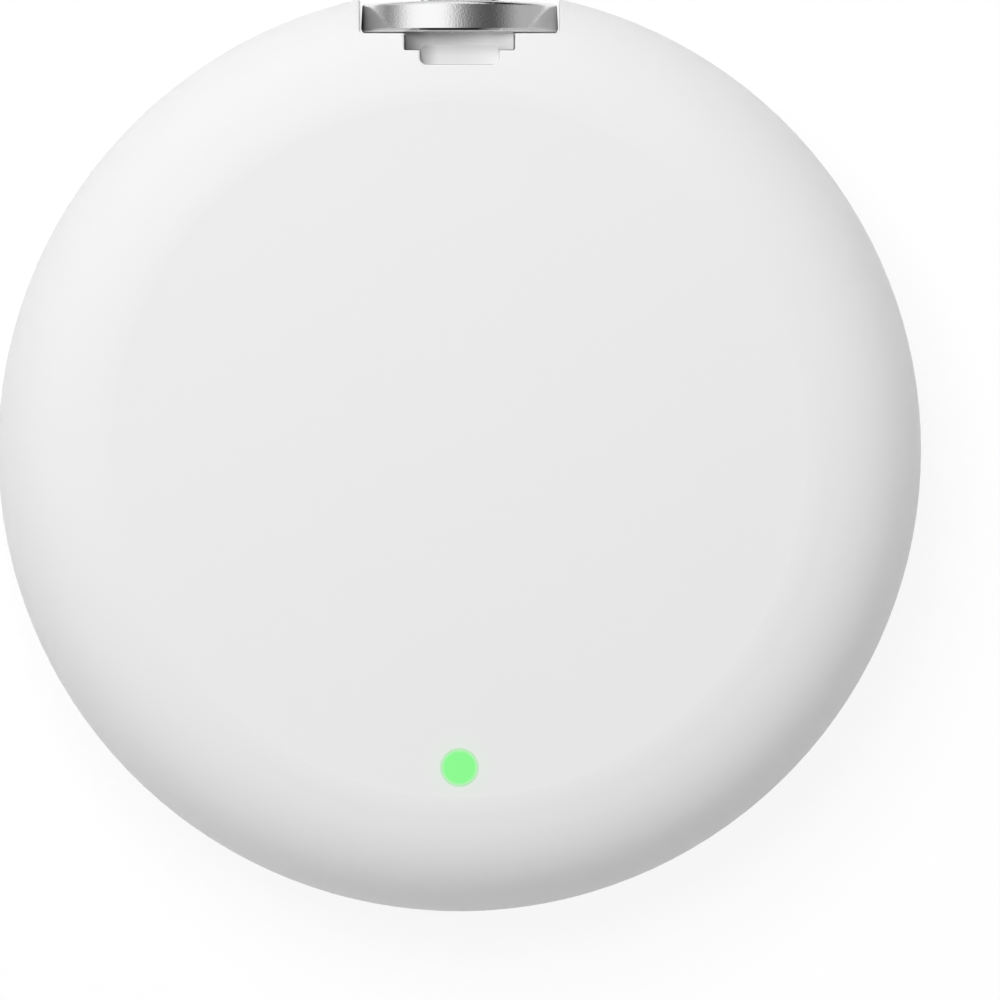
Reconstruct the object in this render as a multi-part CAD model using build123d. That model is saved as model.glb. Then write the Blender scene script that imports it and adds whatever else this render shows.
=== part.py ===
from build123d import *
import os
from math import atan2, cos, degrees, hypot, radians, sin, sqrt, tan

# A GPS tracker: a round white puck in two shells, with a lit status spot on its face and a
# metal strap key plugged into a notch in its rim. It lies on its flat back.
# +Z leaves the front face, +Y runs to the strap key, and the origin is the centre of the back
# face. All sizes are in millimetres.

# Case
case_diameter = 60.0
case_thickness = 16.0
wall = 1.6
crown_radius = 700.0        # the front face is very slightly domed
seam_groove = 0.12          # depth of the fine V groove along the seam
press_gap = 0.01            # between pieces pressed or screwed together
fit_gap = 0.05              # between pieces that locate each other
loose_gap = 0.15            # between pieces that only pass each other
film_gap = 0.02             # round thin stuck-on and squeezed pieces

# Notch in the rim, and the stepped slot below it
notch_width = 12.94
notch_depth = 2.97
notch_wall = 1.06           # the shelf under the flange and the notch's two side walls
notch_corner = 0.2
slot_corner = 0.1
slot_shoulder_round = 0.15
opening_edge_round = 0.14   # outer edges of the notch, the slot and the pocket
slot_step = 1.11            # how far the slot goes below the notch floor
pocket_drop = 0.94          # how far the release tab's pocket goes below the slot
pocket_corner = 0.45
pocket_gap = 0.02           # between the tab and its pocket

# Strap key: a metal cap with a plastic plug
flange_depth = 11.4         # front to back
flange_end_cut = 0.36       # how far its flat ends cut into the oval, each side
flange_top_inset = 0.84     # its middle, below the case's outline
flange_crown_radius = 80.0  # its top is slightly domed from end to end
flange_taper = 0.2          # how much narrower the flange's top is, each side
flange_gap = 0.07           # to the notch's side walls and floor
flange_bottom_round = 0.36
flange_top_round = 0.25
boss_width = 7.1
boss_depth = 8.4
boss_edge_round = 0.08
boss_hollow_radius = 17.0   # its front and back are slightly hollow from side to side
boss_gap = 0.04
eye_hole_radius = 2.2
eye_band = 1.4
eye_thickness = 2.4
eye_round = 0.5
eye_rise = 3.89             # from the flange's top to the middle of the eye
eye_foot_width = 5.2
tenon_width = 4.8
tenon_depth = 3.2
tenon_length = 0.9
neck_width = 6.4
neck_depth = 4.6
neck_length = 1.17
groove_depth = 0.35
groove_width = 0.7
blade_width = 6.6
blade_thickness = 1.7
blade_length = 4.4
blade_slot_width = 4.2
blade_slot_height = 0.9
blade_end_wall = 0.8
blade_edge_round = 0.5
magnet_diameter = 2.2
magnet_length = 1.3
magnet_offset = 4.7

# Release tab and catch spring
tab_width = 5.1
tab_corner = 0.4
tab_over_slot = 0.33        # how far the tab stands up in front of the boss
tab_face_inset = 1.8        # from the case's front face to the tab's
tab_lip = 0.45
tab_travel = 0.65
tab_shoulder_width = 6.8
tab_shoulder_height = 0.5
tab_shoulder_gap = 0.18     # under the shell's inner face
tab_wedge_height = 1.0
tab_wedge_tip_width = 4.9
tab_wedge_overlap = 0.3     # how far the wedge stands between the spring's legs
tab_edge_round = 0.1
tab_stem_gap = 0.14         # from the stem to the boss and the plug's neck
catch_wire = 0.6
catch_bend = 0.9            # centre-line radius of the spring's two corners
catch_bridge_drop = 3.5     # its cross bar, from the case's middle

# Socket behind the notch, with its seal and the charge port
socket_width = 12.6
socket_length = 2.2
socket_rise = 3.9           # its front and back, from the case's middle
socket_drop = 4.4
socket_window_width = 8.1
seal_groove_depth = 0.4
seal_width = 9.0
seal_height = 4.2
seal_bore_width = 7.0
seal_bore_height = 2.0
seal_round = 0.6
port_width = 7.5
port_height = 2.5
port_length = 4.9
port_sheet = 0.25
port_round = 0.5
port_base = 0.8
port_tongue_width = 3.7
port_tongue_thickness = 0.6
port_tongue_length = 3.2

# Shell joint: a lip on the front shell over a flat seal on a ledge in the rear shell
lip_depth = 1.55
seal_thickness = 0.55

# Case screws, from the back, under soft plugs
screw_circle_radius = 19.8
screw_angle = 30.0          # from the X axis, mirrored to four places
screw_diameter = 1.6
screw_head_diameter = 3.0
screw_head_height = 0.9
screw_length = 7.0
screw_slot = 0.3
head_round_share = 0.25     # of the head's height, on every screw
head_slot_share = 0.6       # of the head's diameter
screw_tip_share = 0.2       # of the thread's diameter
rear_boss_diameter = 5.0
rear_boss_height = 3.4      # above the shell's inner floor
front_post_diameter = 4.4
counterbore_diameter = 3.4
counterbore_depth = 2.2
plug_height = 1.2
plug_recess = 0.05
screw_plug_chamfer = 0.2

# Circuit board
board_inset = 4.4           # from the case's outline
board_thickness = 1.0
board_socket_gap = 0.42     # from the board's flat edge to the socket
board_flat_width = 17.0
board_prong_width = 1.9
board_prong_length = 0.8
board_prong_offset = 0.4    # from the port's cut-out
port_cutout_gap = 0.15
board_post_x = 11.5
board_post_diameter = 3.6
board_post_overlap = 0.15   # how far the posts run into the battery frame's wall
board_screw_diameter = 1.2
board_screw_head_diameter = 2.2
board_screw_head_height = 0.7
board_screw_length = 3.5
board_screw_slot = 0.25

# Status light
light_inset = 9.39          # from the case's outline to the middle of the light
light_pipe_diameter = 2.4
light_pipe_flange_diameter = 3.6
light_pipe_flange_height = 0.6
light_holder_diameter = 4.6
led_width = 1.6
led_depth = 1.2
led_height = 0.6

# Battery and its carrier frame
battery_width = 27.0
battery_length = 26.0
battery_thickness = 4.2
battery_corner = 1.5
battery_edge_round = 0.6
battery_drop = 1.6          # how far its middle lies below the case's
battery_pad_margin = 2.0
battery_pad_thickness = 0.3
circuit_width = 22.0
circuit_length = 1.9
circuit_height = 2.6
lead_diameter = 0.7
lead_spacing = 1.2
lead_x = 6.8                # middle of the pair
lead_bend_share = 0.9       # of the shorter straight end, taken up by a bend
lead_start_rise = 0.6       # above the middle of the battery's circuit
lead_straight = 0.9         # at the circuit's end
lead_plug_straight = 0.8
frame_wall = 1.2
frame_height = 5.2
sleeve_height = 3.2
connector_width = 3.8
plug_length = 1.4
header_length = 2.0
connector_height = 1.1
plug_drop = 0.05
plug_reach = 3.9            # from the battery's circuit to the plug

# Satellite antenna
patch_side = 15.0
patch_height = 4.0
patch_corner = 0.5
patch_pad_thickness = 0.2
patch_pad_margin = 0.5
electrode_side = 12.0
electrode_thickness = 0.1
electrode_notch = 2.0
feed_pin_diameter = 0.9
feed_pin_head_diameter = 1.8
feed_pin_head_height = 0.3
feed_pin_head_round = 0.12
feed_pin_end = 0.2          # how far it comes out under the board

# Cellular module, SIM and cellular antenna
module_width = 16.0
module_length = 14.0
module_board = 0.8
module_can_height = 1.6
module_can_margin = 0.3
module_can_wall = 0.2
module_can_round = 0.4
module_right_x = 1.4
module_sim_gap = 1.6
sim_width = 8.8
sim_length = 12.3
sim_thickness = 0.67
sim_corner = 1.6
sim_showing = 0.65          # how far the card comes out of its holder, each end
holder_side = 1.0
holder_sheet = 0.25
holder_inner_height = 0.8
holder_window_side = 1.25
holder_window_end = 2.0
flex_thickness = 0.15
flex_low_rise = 0.8         # its two edges, from the case's middle
flex_high_rise = 3.4
flex_span = 150.0           # degrees round the lower rim
contact_angle = 222.0
contact_spacing = 5.0       # degrees
contact_width = 1.0
contact_sheet = 0.2
contact_foot_inset = 2.2    # from the board's edge
contact_foot_length = 1.2
contact_arm_rise = 1.7      # from the case's middle

# Small chips, each a height above the board
chip_height = 0.9
processor_side = 6.0
power_chip_side = 4.0
inductor_side = 3.0
inductor_height = 1.5
inductor_corner = 0.6
inductor_post_gap = 0.95    # to the shell's screw post above it
sensor_side = 2.5
crystal_length = 3.2
crystal_width = 1.5
memory_length = 4.0
memory_width = 3.0
hall_length = 2.9
hall_width = 1.6
chip_antenna_length = 3.2
chip_antenna_width = 1.6
passive_length = 1.0
passive_width = 0.5
passive_height = 0.5
passive_pitch = 1.6
chip_row_gap = 0.5          # from a chip to the row of small parts beside it
component_gap = 1.2         # between the larger components
chip_gap = 1.0              # between the patch and the chips beside it
memory_inset = 5.4          # these three from the board's edge
memory_drop = 2.6
crystal_inset = 6.0
crystal_rise = 2.4
bluetooth_inset = 2.2
bluetooth_rise = 4.6
hall_side_step = 3.4        # from the magnet, sideways
hall_edge_gap = 1.9

# Places that follow from the sizes above
case_radius = case_diameter / 2
middle_z = case_thickness / 2
rest_radius = case_radius - middle_z     # edge of the flat back face
front_edge_radius = ((2 * crown_radius * middle_z - middle_z**2 - case_radius**2)
                     / (2 * (crown_radius - case_radius)))
notch_floor_y = case_radius - notch_depth
shelf_low_y = notch_floor_y - notch_wall
slot_floor_y = notch_floor_y - slot_step
pocket_floor_y = slot_floor_y - pocket_drop
flange_width = notch_width - 2 * flange_gap
flange_low_y = notch_floor_y + flange_gap
flange_top_y = case_radius - flange_top_inset
slot_width = boss_width + 2 * boss_gap
tab_face_z = case_thickness - tab_face_inset
neck_low_y = shelf_low_y - neck_length
blade_low_y = neck_low_y - blade_length
catch_y = shelf_low_y - neck_length / 2
catch_leg_x = neck_width / 2 - groove_depth + catch_wire / 2
catch_bridge_z = middle_z - catch_bridge_drop
socket_low_y = shelf_low_y - fit_gap - socket_length
port_front_y = neck_low_y - fit_gap - seal_groove_depth
port_back_y = port_front_y - port_length
light_y = light_inset - case_radius
board_radius = case_radius - board_inset
board_top_edge = socket_low_y - board_socket_gap    # the flat edge behind the socket
board_low_z = middle_z - board_thickness / 2
board_top_z = middle_z + board_thickness / 2
boss_back_z = middle_z - boss_depth / 2
ledge_z = middle_z - lip_depth - seal_thickness
screw_seat_z = counterbore_depth
battery_low_z = wall + battery_pad_thickness
battery_top_z = battery_low_z + battery_thickness
battery_middle_z = (battery_low_z + battery_top_z) / 2
battery_low_y = -battery_drop - battery_length / 2
circuit_low_y = battery_low_y + battery_length + fit_gap
circuit_high_y = circuit_low_y + circuit_length
frame_room_x = battery_width + 4 * fit_gap
frame_room_low_y = battery_low_y - 2 * fit_gap
frame_room_high_y = circuit_high_y + fit_gap
board_post_upper_y = frame_room_high_y + frame_wall + board_post_diameter / 2 - board_post_overlap
board_post_lower_y = frame_room_low_y - frame_wall - board_post_diameter / 2 + board_post_overlap
plug_y = circuit_high_y + plug_reach
patch_y = port_back_y - component_gap - patch_side / 2
patch_low_y = patch_y - patch_side / 2
module_x = module_right_x - module_width / 2
module_y = patch_low_y - component_gap - module_length / 2
sim_x = module_right_x + module_sim_gap + holder_side + sim_width / 2
sim_y = patch_low_y - component_gap - sim_length / 2
row_step = chip_row_gap + passive_length / 2        # from a chip to its row of small parts
module_row_y = module_y - module_length / 2 - row_step
processor_x = -patch_side / 2 - chip_gap - processor_side / 2
processor_y = patch_low_y + processor_side / 2
power_x = patch_side / 2 + chip_gap + power_chip_side / 2
power_y = patch_low_y + power_chip_side / 2
inductor_x = sim_x + sim_width / 2 + holder_side + chip_row_gap + inductor_side / 2
memory_x = memory_inset - board_radius
motion_y = module_row_y - row_step - sensor_side / 2
hall_x = magnet_offset + hall_side_step
hall_y = board_top_edge - hall_edge_gap
post_foot_z = wall + rear_boss_height + fit_gap
past = 1.0                  # how far a cut starts outside what it cuts
far = 2 * case_diameter     # longer than anything in the part


def block(x, y, z):
    # A box given by its low and high limit along each axis.
    return Pos((x[0] + x[1]) / 2, (y[0] + y[1]) / 2, (z[0] + z[1]) / 2) * Box(
        x[1] - x[0], y[1] - y[0], z[1] - z[0])


def across(width):
    return (-width / 2, width / 2)


def rod(x, y, z, diameter):
    # An upright cylinder between two heights.
    return Pos(x, y, (z[0] + z[1]) / 2) * Cylinder(diameter / 2, z[1] - z[0])


def on_board(x, y, width, length, height):
    # A component that stands on the board's front side.
    return block((x - width / 2, x + width / 2), (y - length / 2, y + length / 2),
                 (board_top_z, board_top_z + height))


def screw_places():
    x = screw_circle_radius * cos(radians(screw_angle))
    y = screw_circle_radius * sin(radians(screw_angle))
    return [(sx * x, sy * y) for sx in (-1, 1) for sy in (-1, 1)]


def board_screw_places():
    return [(side * board_post_x, y) for side in (-1, 1)
            for y in (board_post_lower_y, board_post_upper_y)]


def case_body(inset):
    # The puck's outer form moved inward by inset: crowned front, round rim, flat back.
    tilt = degrees(atan2(crown_radius - middle_z, case_radius - front_edge_radius))
    crown_centre_z = case_thickness - crown_radius
    outline = [
        CenterArc((0, crown_centre_z), crown_radius - inset, tilt, 90 - tilt),
        CenterArc((case_radius - front_edge_radius, middle_z), front_edge_radius - inset, 0, tilt),
        CenterArc((rest_radius, middle_z), middle_z - inset, -90, 90),
        Line((rest_radius, inset), (0, inset)),
        Line((0, inset), (0, case_thickness - inset)),
    ]
    return revolve(Plane.XZ * make_face(outline), Axis.Z)


def case_plan(rim_inset, notch_inset):
    # The case seen from the front, with its notch, moved inward.
    top = notch_floor_y - notch_inset
    notch = Pos(0, top + far / 2) * Rectangle(notch_width + 2 * notch_inset, far)
    return Circle(case_radius - rim_inset) - notch


def seam_band(outer_rim, outer_notch, inner_rim, inner_notch, low, high):
    # A band that follows the seam, open where the key's slot crosses it.
    ring = case_plan(outer_rim, outer_notch) - case_plan(inner_rim, inner_notch)
    band = Pos(0, 0, low) * extrude(ring, high - low)
    return band - key_slot()


def open_upward(width, floor_y):
    # A slot seen from the front, from its floor out past the rim.
    return Pos(0, floor_y + far / 2) * Rectangle(width, far)


def corners(outline, x, y):
    # The outline's two corners at one height, left and right of the middle.
    return [v for v in outline.vertices() if abs(abs(v.X) - x) < 0.01 and abs(v.Y - y) < 0.01]


def notch_plan():
    plan = open_upward(notch_width, notch_floor_y)
    return fillet(corners(plan, notch_width / 2, notch_floor_y), notch_corner)


def slot_plan():
    plan = open_upward(slot_width, slot_floor_y)
    return fillet(corners(plan, slot_width / 2, slot_floor_y), slot_corner)


def front_opening_plan():
    # The notch and the slot in one outline, with the shoulders between them rounded too.
    plan = notch_plan() + slot_plan()
    return fillet(corners(plan, slot_width / 2, notch_floor_y), slot_shoulder_round)


def key_slot():
    return Pos(0, 0, boss_back_z - boss_gap) * extrude(slot_plan(), far)


def tab_pocket():
    width = tab_width + 2 * pocket_gap
    height = slot_floor_y - pocket_floor_y + 2 * pocket_corner
    outline = Pos(0, pocket_floor_y + height / 2) * RectangleRounded(width, height, pocket_corner)
    return Pos(0, 0, board_top_z + past) * extrude(outline, far)


def case_walls(opening):
    # Both shells as one, with a shelf round the notch, a fine groove along the seam and the
    # opening cut right through.
    notch_block = block(across(notch_width + 2 * notch_wall), (shelf_low_y, far), (-past, far))
    walls = case_body(0) - case_body(wall) + (case_body(0) & notch_block)
    groove_face = Plane.XZ * Polygon((case_radius - seam_groove, middle_z),
                                     (case_radius + seam_groove, middle_z - 2 * seam_groove),
                                     (case_radius + seam_groove, middle_z + 2 * seam_groove), align=None)
    cut = Pos(0, 0, -far / 2) * extrude(opening, far)
    return walls - revolve(groove_face, Axis.Z) - cut


def above(z):
    return block((-far, far), (-far, far), (z, far))


def below(z):
    return block((-far, far), (-far, far), (-far, z))


def below_y(y):
    return block((-far, far), (-far, y), (-far, far))


def round_opening_edges(shell, arc_x, arc_radius, side):
    # Rounds the edges where the openings round the key meet the case's outer face.
    chosen = []
    for edge in shell.edges():
        mid = edge @ 0.5
        radial = sqrt(mid.X**2 + mid.Y**2) - arc_x
        off_face = abs(sqrt(radial**2 + (mid.Z - middle_z)**2) - arc_radius)
        near_key = abs(mid.X) < notch_width / 2 + wall and mid.Y > pocket_floor_y - wall
        if near_key and off_face < 0.01 and side * (mid.Z - middle_z) > 3 * seam_groove:
            chosen.append(edge)
    return fillet(chosen, opening_edge_round)


def make_front_shell():
    shell = case_walls(front_opening_plan()) & above(middle_z)
    shell -= tab_pocket()
    shell = round_opening_edges(shell, case_radius - front_edge_radius, front_edge_radius, 1)
    shell += seam_band(wall / 2 + fit_gap, notch_wall / 2 + fit_gap, wall, notch_wall,
                       middle_z - lip_depth, middle_z + fit_gap)
    room = case_body(wall / 2)
    for x, y in screw_places():
        shell += rod(x, y, (post_foot_z, case_thickness), front_post_diameter) & room
    holder_low_z = light_low_z() + light_pipe_flange_height + fit_gap
    shell += rod(0, light_y, (holder_low_z, case_thickness), light_holder_diameter) & room
    for x, y in screw_places():
        thread = (post_foot_z - past, screw_seat_z + screw_length + fit_gap)
        shell -= rod(x, y, thread, screw_diameter + 2 * press_gap)
    return shell - rod(0, light_y, (0, far), light_pipe_diameter + 2 * press_gap)


def make_rear_shell():
    shell = case_walls(notch_plan()) & below(middle_z)
    shell -= key_slot()
    shell = round_opening_edges(shell, rest_radius, middle_z, -1)
    shell -= Pos(0, 0, ledge_z) * extrude(case_plan(wall / 2, notch_wall / 2), far)
    for x, y in screw_places():
        shell += rod(x, y, (wall / 2, post_foot_z - fit_gap), rear_boss_diameter)
    for x, y in screw_places():
        shell -= rod(x, y, (-past, screw_seat_z), counterbore_diameter)
        shell -= rod(x, y, (0, case_thickness), screw_diameter + 2 * loose_gap)
    return shell


def make_case_seal():
    return seam_band(wall / 2 + fit_gap, notch_wall / 2 + fit_gap,
                     wall - fit_gap, notch_wall - fit_gap,
                     ledge_z, ledge_z + seal_thickness)


def make_screw(head_diameter, head_height, shaft_diameter, length, slot):
    # Head down at the origin, shaft up along +Z, with a cross cut in the head.
    head = Pos(0, 0, -head_height / 2) * Cylinder(head_diameter / 2, head_height)
    head = fillet(head.edges().group_by(Axis.Z)[0], head_height * head_round_share)
    shaft = Pos(0, 0, length / 2) * Cylinder(shaft_diameter / 2, length)
    shaft = chamfer(shaft.edges().group_by(Axis.Z)[-1], shaft_diameter * screw_tip_share)
    screw = head + shaft
    for turn in (0, 90):
        bar = Pos(0, 0, -head_height) * Box(head_diameter * head_slot_share, slot, head_height)
        screw -= Rot(0, 0, turn) * bar
    return screw


def make_case_screws():
    screw = make_screw(screw_head_diameter, screw_head_height, screw_diameter,
                       screw_length, screw_slot)
    return Compound([Pos(x, y, screw_seat_z) * screw for x, y in screw_places()])


def make_screw_plugs():
    plug = Pos(0, 0, plug_recess + plug_height / 2) * Cylinder(counterbore_diameter / 2, plug_height)
    plug = chamfer(plug.edges().group_by(Axis.Z)[0], screw_plug_chamfer)
    return Compound([Pos(x, y, 0) * plug for x, y in screw_places()])


def key_frame():
    # A plane whose normal is +Y, with its middle on the key's axis at height y = 0.
    return Plane((0, 0, middle_z), x_dir=(1, 0, 0), z_dir=(0, 1, 0))


def key_slab(width, depth, low_y, high_y):
    # A block round the key's axis.
    return block(across(width), (low_y, high_y), (middle_z - depth / 2, middle_z + depth / 2))


def make_flange():
    # An oval block with flat ends, a slightly domed top and rounded rims.
    plane = key_frame()
    high_y = case_radius + past
    half_low, half_high = flange_width / 2, flange_width / 2 - flange_taper
    low = plane.offset(flange_low_y) * Ellipse(half_low + flange_end_cut, flange_depth / 2)
    high = plane.offset(high_y) * Ellipse(half_high + flange_end_cut, flange_depth / 2 - flange_taper)
    front_view = Polygon((-half_low, flange_low_y), (half_low, flange_low_y),
                         (half_high, high_y), (-half_high, high_y), align=None)
    flange = loft([low, high]) & extrude(front_view, case_thickness)
    flange &= rod(0, flange_top_y - flange_crown_radius, (0, case_thickness), 2 * flange_crown_radius)
    flange = fillet(flange.faces().sort_by(Axis.Y)[0].edges(), flange_bottom_round)
    return fillet(flange.faces().sort_by(Axis.Y)[-1].edges(), flange_top_round)


def make_boss():
    boss = key_slab(boss_width, boss_depth, shelf_low_y, flange_low_y)
    boss = fillet(boss.edges().filter_by(Axis.Y), boss_edge_round)
    boss -= key_slab(tenon_width, tenon_depth, shelf_low_y, shelf_low_y + tenon_length)
    rise = sqrt(boss_hollow_radius**2 - (boss_width / 2)**2)
    for side in (-1, 1):
        middle = Pos(0, flange_low_y, middle_z + side * (boss_depth / 2 + rise))
        boss -= middle * Rot(90, 0, 0) * Cylinder(boss_hollow_radius, far)
    return boss


def make_strap_key():
    flange = make_flange() - magnet_bar(press_gap)
    eye_y = flange_top_y + eye_rise
    eye = Pos(0, eye_y, middle_z) * Cylinder(eye_hole_radius + eye_band, eye_thickness)
    eye += key_slab(eye_foot_width, eye_thickness, flange_top_y - wall / 2, eye_y)
    eye -= Pos(0, eye_y, middle_z) * Cylinder(eye_hole_radius, far)
    rims = [e for e in eye.edges() if abs(abs((e @ 0.5).Z - middle_z) - eye_thickness / 2) < 0.01
            and (e @ 0.5).Y > flange_top_y - wall / 4]
    eye = fillet(rims, eye_round)
    return flange + eye + make_boss()


def magnet_bar(gap):
    # The magnet stands in the flange's lower face, beside the boss.
    face = key_frame().offset(flange_low_y - gap) * Pos(magnet_offset, 0) * Circle(
        magnet_diameter / 2 + gap)
    return extrude(face, magnet_length + 2 * gap)


def make_key_magnet():
    return magnet_bar(0)


def make_key_plug():
    tenon = key_slab(tenon_width - 2 * press_gap, tenon_depth - 2 * press_gap,
                     shelf_low_y - fit_gap, shelf_low_y + tenon_length - fit_gap)
    neck = key_slab(neck_width, neck_depth, neck_low_y, shelf_low_y)
    blade = key_slab(blade_width, blade_thickness, blade_low_y, neck_low_y + fit_gap)
    blade = fillet(blade.edges().filter_by(Axis.Y), blade_edge_round)
    plug = tenon + neck + blade
    grooves = key_slab(far, neck_depth + past, catch_y - groove_width / 2, catch_y + groove_width / 2)
    core = key_slab(neck_width - 2 * groove_depth, far, -far, far)
    plug -= grooves - core
    plug -= key_slab(blade_slot_width, blade_slot_height, blade_low_y - past,
                     neck_low_y - blade_end_wall)
    return plug


def tab_shoulder_top_z():
    # Just under the shell's rounded inner face, at the shoulder's outer corners.
    corner = hypot(tab_shoulder_width / 2, shelf_low_y - tab_stem_gap)
    from_rim_middle = corner - (case_radius - front_edge_radius)
    rise = sqrt((front_edge_radius - wall)**2 - from_rim_middle**2)
    return middle_z + rise - tab_shoulder_gap


def tab_wedge_low_z():
    return tab_shoulder_top_z() - tab_shoulder_height - tab_wedge_height


def make_release_tab():
    # The pad shows in the pocket; its wedge stands between the catch spring's two legs.
    low_y = pocket_floor_y + pocket_gap
    high_y = slot_floor_y + tab_over_slot
    pad_low_z = tab_face_z - tab_lip
    pad = Pos(0, (low_y + high_y) / 2, pad_low_z) * extrude(
        RectangleRounded(tab_width, high_y - low_y, tab_corner), tab_lip)
    pad = fillet(pad.edges().group_by(Axis.Z)[-1], tab_edge_round)
    stem_y = (low_y, shelf_low_y - tab_stem_gap)
    shoulder_low_z = tab_shoulder_top_z() - tab_shoulder_height
    stem = block(across(tab_width - 2 * tab_corner), stem_y, (shoulder_low_z, pad_low_z))
    shoulder = block(across(tab_shoulder_width), stem_y, (shoulder_low_z, tab_shoulder_top_z()))
    wedge_face = Plane.XZ.offset(-stem_y[1]) * Polygon(
        (-tab_shoulder_width / 2, shoulder_low_z), (tab_shoulder_width / 2, shoulder_low_z),
        (tab_wedge_tip_width / 2, tab_wedge_low_z()), (-tab_wedge_tip_width / 2, tab_wedge_low_z()),
        align=None)
    wedge = extrude(wedge_face, stem_y[1] - stem_y[0], dir=(0, -1, 0))
    return pad + stem + shoulder + wedge


def make_catch_spring():
    # A U of round wire whose legs lie in the plug's side grooves, up past the tab's wedge.
    leg_top_z = tab_wedge_low_z() + tab_wedge_overlap
    path = FilletPolyline(
        (-catch_leg_x, catch_y, leg_top_z), (-catch_leg_x, catch_y, catch_bridge_z),
        (catch_leg_x, catch_y, catch_bridge_z), (catch_leg_x, catch_y, leg_top_z),
        radius=catch_bend)
    return sweep(Plane(path @ 0, z_dir=path % 0) * Circle(catch_wire / 2), path)


def make_key_socket():
    body = block(across(socket_width), (socket_low_y, shelf_low_y - fit_gap),
                 (middle_z - socket_drop, middle_z + socket_rise))
    body &= case_body(wall + loose_gap)
    window = block(across(socket_window_width), (neck_low_y - fit_gap, far),
                   (catch_bridge_z - catch_wire / 2 - loose_gap, far))
    seal_seat = key_slab(seal_width, seal_height, port_front_y, far)
    port_hole = key_slab(port_width + 2 * fit_gap, port_height + 2 * fit_gap, 0, far)
    prong_y = (socket_low_y - wall, board_top_edge + board_prong_length + fit_gap)
    prong_slot = block(across(far), prong_y, (board_low_z - fit_gap, board_top_z + fit_gap))
    return body - window - seal_seat - port_hole - prong_slot


def make_port_seal():
    ring = key_slab(seal_width - 2 * film_gap, seal_height - 2 * film_gap,
                    port_front_y, port_front_y + seal_groove_depth)
    ring = fillet(ring.edges().filter_by(Axis.Y), seal_round)
    return ring - key_slab(seal_bore_width, seal_bore_height, 0, far)


def port_room(gap):
    # The inside of the port's metal can, less a gap all round.
    return key_slab(port_width - 2 * port_sheet - 2 * gap, port_height - 2 * port_sheet - 2 * gap,
                    port_back_y, port_front_y)


def make_charge_port_shell():
    can = key_slab(port_width, port_height, port_back_y, port_front_y)
    return fillet(can.edges().filter_by(Axis.Y), port_round) - port_room(0)


def make_charge_port_tongue():
    base = port_room(press_gap) & below_y(port_back_y + port_base)
    return base + key_slab(port_tongue_width, port_tongue_thickness,
                           port_back_y, port_back_y + port_base + port_tongue_length)


def light_low_z():
    return board_top_z + led_height + fit_gap


def make_light_pipe():
    # Its top is flush with the front face, and its foot is just over the lamp on the board.
    low = light_low_z()
    flange = rod(0, light_y, (low, low + light_pipe_flange_height), light_pipe_flange_diameter)
    stem = rod(0, light_y, (low, far), light_pipe_diameter) & case_body(0)
    return flange + stem


def make_status_led():
    return on_board(0, light_y, led_width, led_depth, led_height)


def board_prong_x():
    return port_width / 2 + port_cutout_gap + board_prong_offset + board_prong_width / 2


def make_main_board():
    outline = Circle(board_radius) - Pos(0, board_top_edge + far / 2) * Rectangle(board_flat_width, far)
    for side in (-1, 1):
        prong = Rectangle(board_prong_width, 2 * board_prong_length)
        outline += Pos(side * board_prong_x(), board_top_edge) * prong
    port_room_y = port_back_y - port_cutout_gap + far / 2
    outline -= Pos(0, port_room_y) * Rectangle(port_width + 2 * port_cutout_gap, far)
    for x, y in screw_places():
        outline -= Pos(x, y) * Circle(front_post_diameter / 2 + 2 * loose_gap)
    for x, y in board_screw_places():
        outline -= Pos(x, y) * Circle(board_screw_diameter / 2 + fit_gap)
    outline -= Pos(0, patch_y) * Circle(feed_pin_diameter / 2 + fit_gap)
    return Pos(0, 0, board_low_z) * extrude(outline, board_thickness)


def feed_hole():
    return rod(0, patch_y, (0, far), feed_pin_diameter + 2 * fit_gap)


def make_gnss_pad():
    side = patch_side - 2 * patch_pad_margin
    return on_board(0, patch_y, side, side, patch_pad_thickness) - feed_hole()


def make_gnss_antenna():
    ceramic = Pos(0, 0, patch_pad_thickness) * on_board(0, patch_y, patch_side, patch_side, patch_height)
    return chamfer(ceramic.edges().filter_by(Axis.Z), patch_corner) - feed_hole()


def make_gnss_electrode():
    # A square of fired silver with two opposite corners cut, which tunes the antenna.
    sheet = Pos(0, 0, patch_pad_thickness + patch_height) * on_board(
        0, patch_y, electrode_side, electrode_side, electrode_thickness)
    uprights = sheet.edges().filter_by(Axis.Z).sort_by(lambda e: (e @ 0).X + (e @ 0).Y)
    return chamfer([uprights[0], uprights[-1]], electrode_notch) - feed_hole()


def make_gnss_pin():
    top = board_top_z + patch_pad_thickness + patch_height + electrode_thickness
    pin = rod(0, patch_y, (board_low_z - feed_pin_end, top + feed_pin_head_height / 2), feed_pin_diameter)
    head = rod(0, patch_y, (top, top + feed_pin_head_height), feed_pin_head_diameter)
    return pin + fillet(head.edges().group_by(Axis.Z)[-1], feed_pin_head_round)


def make_cellular_module():
    return on_board(module_x, module_y, module_width, module_length, module_board)


def module_can(margin, height):
    return Pos(0, 0, module_board) * on_board(module_x, module_y, module_width - 2 * margin,
                                              module_length - 2 * margin, height)


def make_module_shield():
    can = module_can(module_can_margin, module_can_height)
    can = fillet(can.edges().filter_by(Axis.Z), module_can_round)
    can = fillet(can.edges().group_by(Axis.Z)[-1], module_can_round / 2)
    return can - module_can(module_can_margin + module_can_wall, module_can_height - module_can_wall)


def make_sim_card():
    card = Pos(0, 0, holder_sheet + fit_gap) * on_board(sim_x, sim_y, sim_width, sim_length, sim_thickness)
    corner = card.edges().filter_by(Axis.Z).sort_by(lambda e: (e @ 0).X + (e @ 0).Y)[-1]
    return chamfer(corner, sim_corner)


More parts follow.
